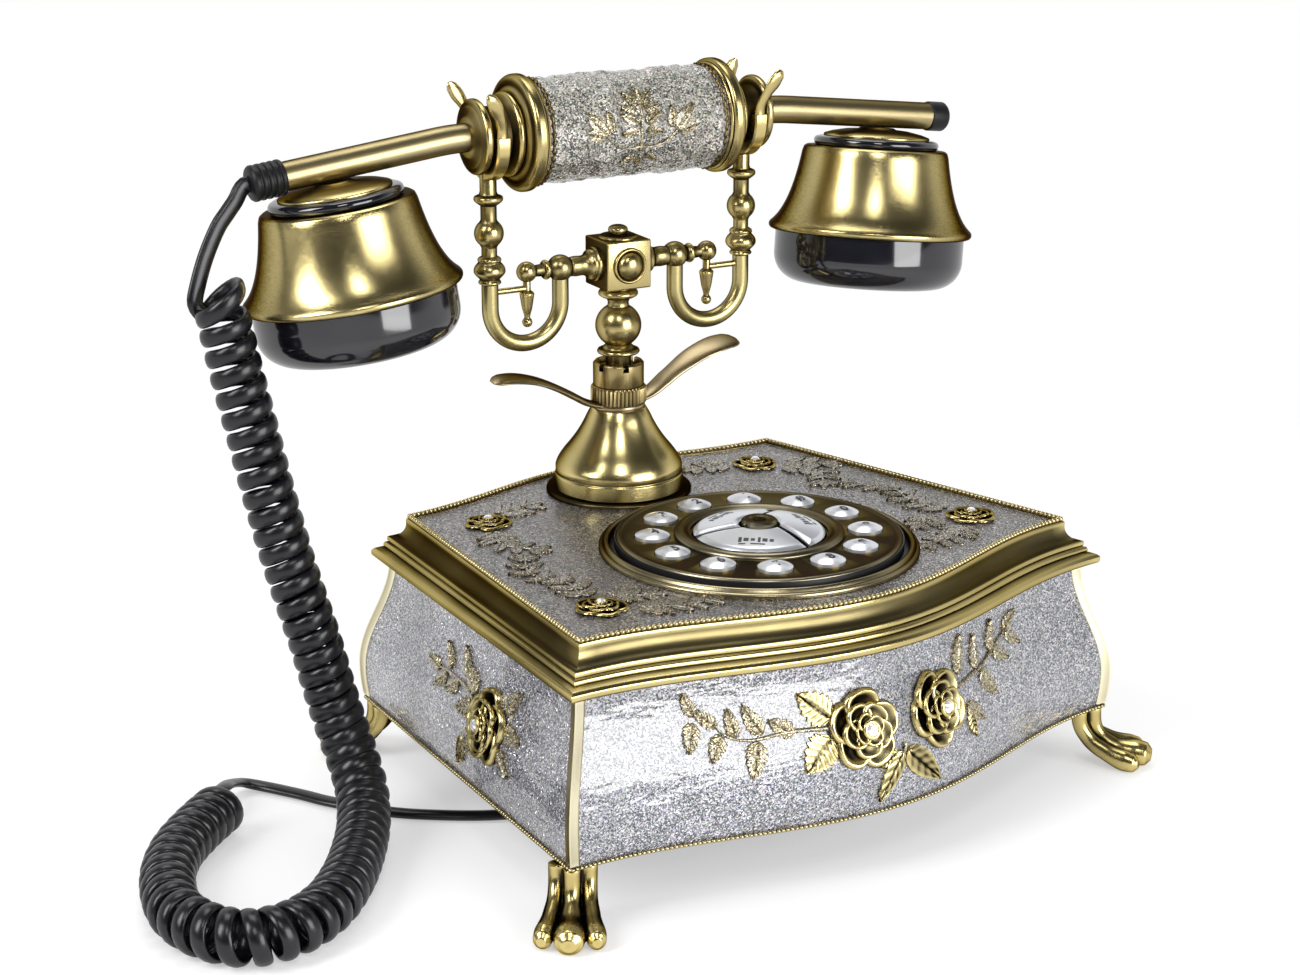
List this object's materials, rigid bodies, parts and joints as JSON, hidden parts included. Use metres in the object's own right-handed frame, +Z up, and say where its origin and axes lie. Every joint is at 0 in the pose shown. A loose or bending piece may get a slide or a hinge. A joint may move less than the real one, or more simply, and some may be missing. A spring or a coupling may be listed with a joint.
{
  "type": "telephone",
  "caption": "Antique-style cradle telephone with a round dial of push keys on a footed base, a two-cup handset and a curly cord.",
  "frame": {"origin": "on the table under the middle of the base, between the feet", "axes": "+Z up; +X to the right along the front; -Y to the front, where the dial is"},
  "size_m": [0.3214, 0.1845, 0.2148],
  "materials": {
    "antique_brass": "brushed antique brass with dark patina in the recesses",
    "silver_glitter": "fine silver glitter under clear lacquer",
    "bottom_sheet": "matt black paint",
    "cut_stone": "clear faceted stone",
    "black_housing": "moulded",
    "black_rubber": "satin",
    "circuit_board": "solder mask",
    "ballast_iron": "bare casting",
    "spring_steel": "drawn wire",
    "capsule_case": "moulded",
    "gloss_black": "high gloss",
    "key_silver": "silver lacquer"
  },
  "bodies": {
    "base": {"body_shell": "silver_glitter", "bottom_plate": "bottom_sheet", "corner_strips": "antique_brass", "bead_trims": "antique_brass", "lid_moulding": "antique_brass", "lid_panel": "silver_glitter", "front_ornament": "antique_brass", "side_ornaments": "antique_brass", "lid_roses": "antique_brass", "stones": "cut_stone", "foot_front_left": "antique_brass", "foot_front_right": "antique_brass", "foot_back_left": "antique_brass", "foot_back_right": "antique_brass", "line_jack": "black_housing", "cord_gland": "black_rubber", "circuit_boards": "circuit_board", "ballast": "ballast_iron", "dial_bezel": "antique_brass", "dial_plate": "antique_brass", "dial_ring": "antique_brass", "dial_boss": "antique_brass", "stand_bell": "antique_brass", "stand_wings": "antique_brass", "stand_collars": "antique_brass", "hook_switch": "black_housing", "hook_spring": "spring_steel", "cord_lead": "black_rubber", "cord_coil": "black_rubber", "cord_tail": "black_rubber"},
    "handset": {"grip_sleeve": "silver_glitter", "grip_ends": "antique_brass", "handset_tubes": "antique_brass", "handset_caps": "black_rubber", "cup_collars": "antique_brass", "cup_necks": "gloss_black", "cup_bells": "antique_brass", "cup_bowls": "gloss_black", "cup_capsules": "capsule_case"},
    "cradle": {"cradle_stem": "antique_brass", "cradle_hub": "antique_brass", "cradle_arms": "antique_brass", "cradle_hooks": "antique_brass", "cradle_post_left": "antique_brass", "cradle_post_right": "antique_brass"},
    "key_1": {"key_1": "key_silver"},
    "key_2": {"key_2": "key_silver"},
    "key_3": {"key_3": "key_silver"},
    "key_4": {"key_4": "key_silver"},
    "key_5": {"key_5": "key_silver"},
    "key_6": {"key_6": "key_silver"},
    "key_7": {"key_7": "key_silver"},
    "key_8": {"key_8": "key_silver"},
    "key_9": {"key_9": "key_silver"},
    "key_0": {"key_0": "key_silver"},
    "key_star": {"key_star": "key_silver"},
    "key_hash": {"key_hash": "key_silver"},
    "function_key_a": {"function_key_a": "key_silver"},
    "function_key_b": {"function_key_b": "key_silver"},
    "function_key_c": {"function_key_c": "key_silver"}
  },
  "joints": [
    {"name": "handset_lift", "type": "slide", "parent": "base", "child": "handset", "axis": [0, 0, 1], "range_m": [0, 0.09]},
    {"name": "cradle_rise", "type": "slide", "parent": "base", "child": "cradle", "axis": [0, 0, 1], "range_m": [0, 0.004], "deforming": ["hook_spring"]},
    {"name": "press_key_1", "type": "slide", "parent": "base", "child": "key_1", "axis": [0, 0, -1], "range_m": [0, 0.0012], "stiffness_N_per_m": 300, "springref_m": -0.0008},
    {"name": "press_key_2", "type": "slide", "parent": "base", "child": "key_2", "axis": [0, 0, -1], "range_m": [0, 0.0012], "stiffness_N_per_m": 300, "springref_m": -0.0008},
    {"name": "press_key_3", "type": "slide", "parent": "base", "child": "key_3", "axis": [0, 0, -1], "range_m": [0, 0.0012], "stiffness_N_per_m": 300, "springref_m": -0.0008},
    {"name": "press_key_4", "type": "slide", "parent": "base", "child": "key_4", "axis": [0, 0, -1], "range_m": [0, 0.0012], "stiffness_N_per_m": 300, "springref_m": -0.0008},
    {"name": "press_key_5", "type": "slide", "parent": "base", "child": "key_5", "axis": [0, 0, -1], "range_m": [0, 0.0012], "stiffness_N_per_m": 300, "springref_m": -0.0008},
    {"name": "press_key_6", "type": "slide", "parent": "base", "child": "key_6", "axis": [0, 0, -1], "range_m": [0, 0.0012], "stiffness_N_per_m": 300, "springref_m": -0.0008},
    {"name": "press_key_7", "type": "slide", "parent": "base", "child": "key_7", "axis": [0, 0, -1], "range_m": [0, 0.0012], "stiffness_N_per_m": 300, "springref_m": -0.0008},
    {"name": "press_key_8", "type": "slide", "parent": "base", "child": "key_8", "axis": [0, 0, -1], "range_m": [0, 0.0012], "stiffness_N_per_m": 300, "springref_m": -0.0008},
    {"name": "press_key_9", "type": "slide", "parent": "base", "child": "key_9", "axis": [0, 0, -1], "range_m": [0, 0.0012], "stiffness_N_per_m": 300, "springref_m": -0.0008},
    {"name": "press_key_0", "type": "slide", "parent": "base", "child": "key_0", "axis": [0, 0, -1], "range_m": [0, 0.0012], "stiffness_N_per_m": 300, "springref_m": -0.0008},
    {"name": "press_key_star", "type": "slide", "parent": "base", "child": "key_star", "axis": [0, 0, -1], "range_m": [0, 0.0012], "stiffness_N_per_m": 300, "springref_m": -0.0008},
    {"name": "press_key_hash", "type": "slide", "parent": "base", "child": "key_hash", "axis": [0, 0, -1], "range_m": [0, 0.0012], "stiffness_N_per_m": 300, "springref_m": -0.0008},
    {"name": "press_function_key_a", "type": "slide", "parent": "base", "child": "function_key_a", "axis": [0, 0, -1], "range_m": [0, 0.0012], "stiffness_N_per_m": 300, "springref_m": -0.0008},
    {"name": "press_function_key_b", "type": "slide", "parent": "base", "child": "function_key_b", "axis": [0, 0, -1], "range_m": [0, 0.0012], "stiffness_N_per_m": 300, "springref_m": -0.0008},
    {"name": "press_function_key_c", "type": "slide", "parent": "base", "child": "function_key_c", "axis": [0, 0, -1], "range_m": [0, 0.0012], "stiffness_N_per_m": 300, "springref_m": -0.0008}
  ],
  "couplings": [
    {"joint": "cradle_rise", "follows": "handset_lift", "ratio": 0.04444}
  ]
}
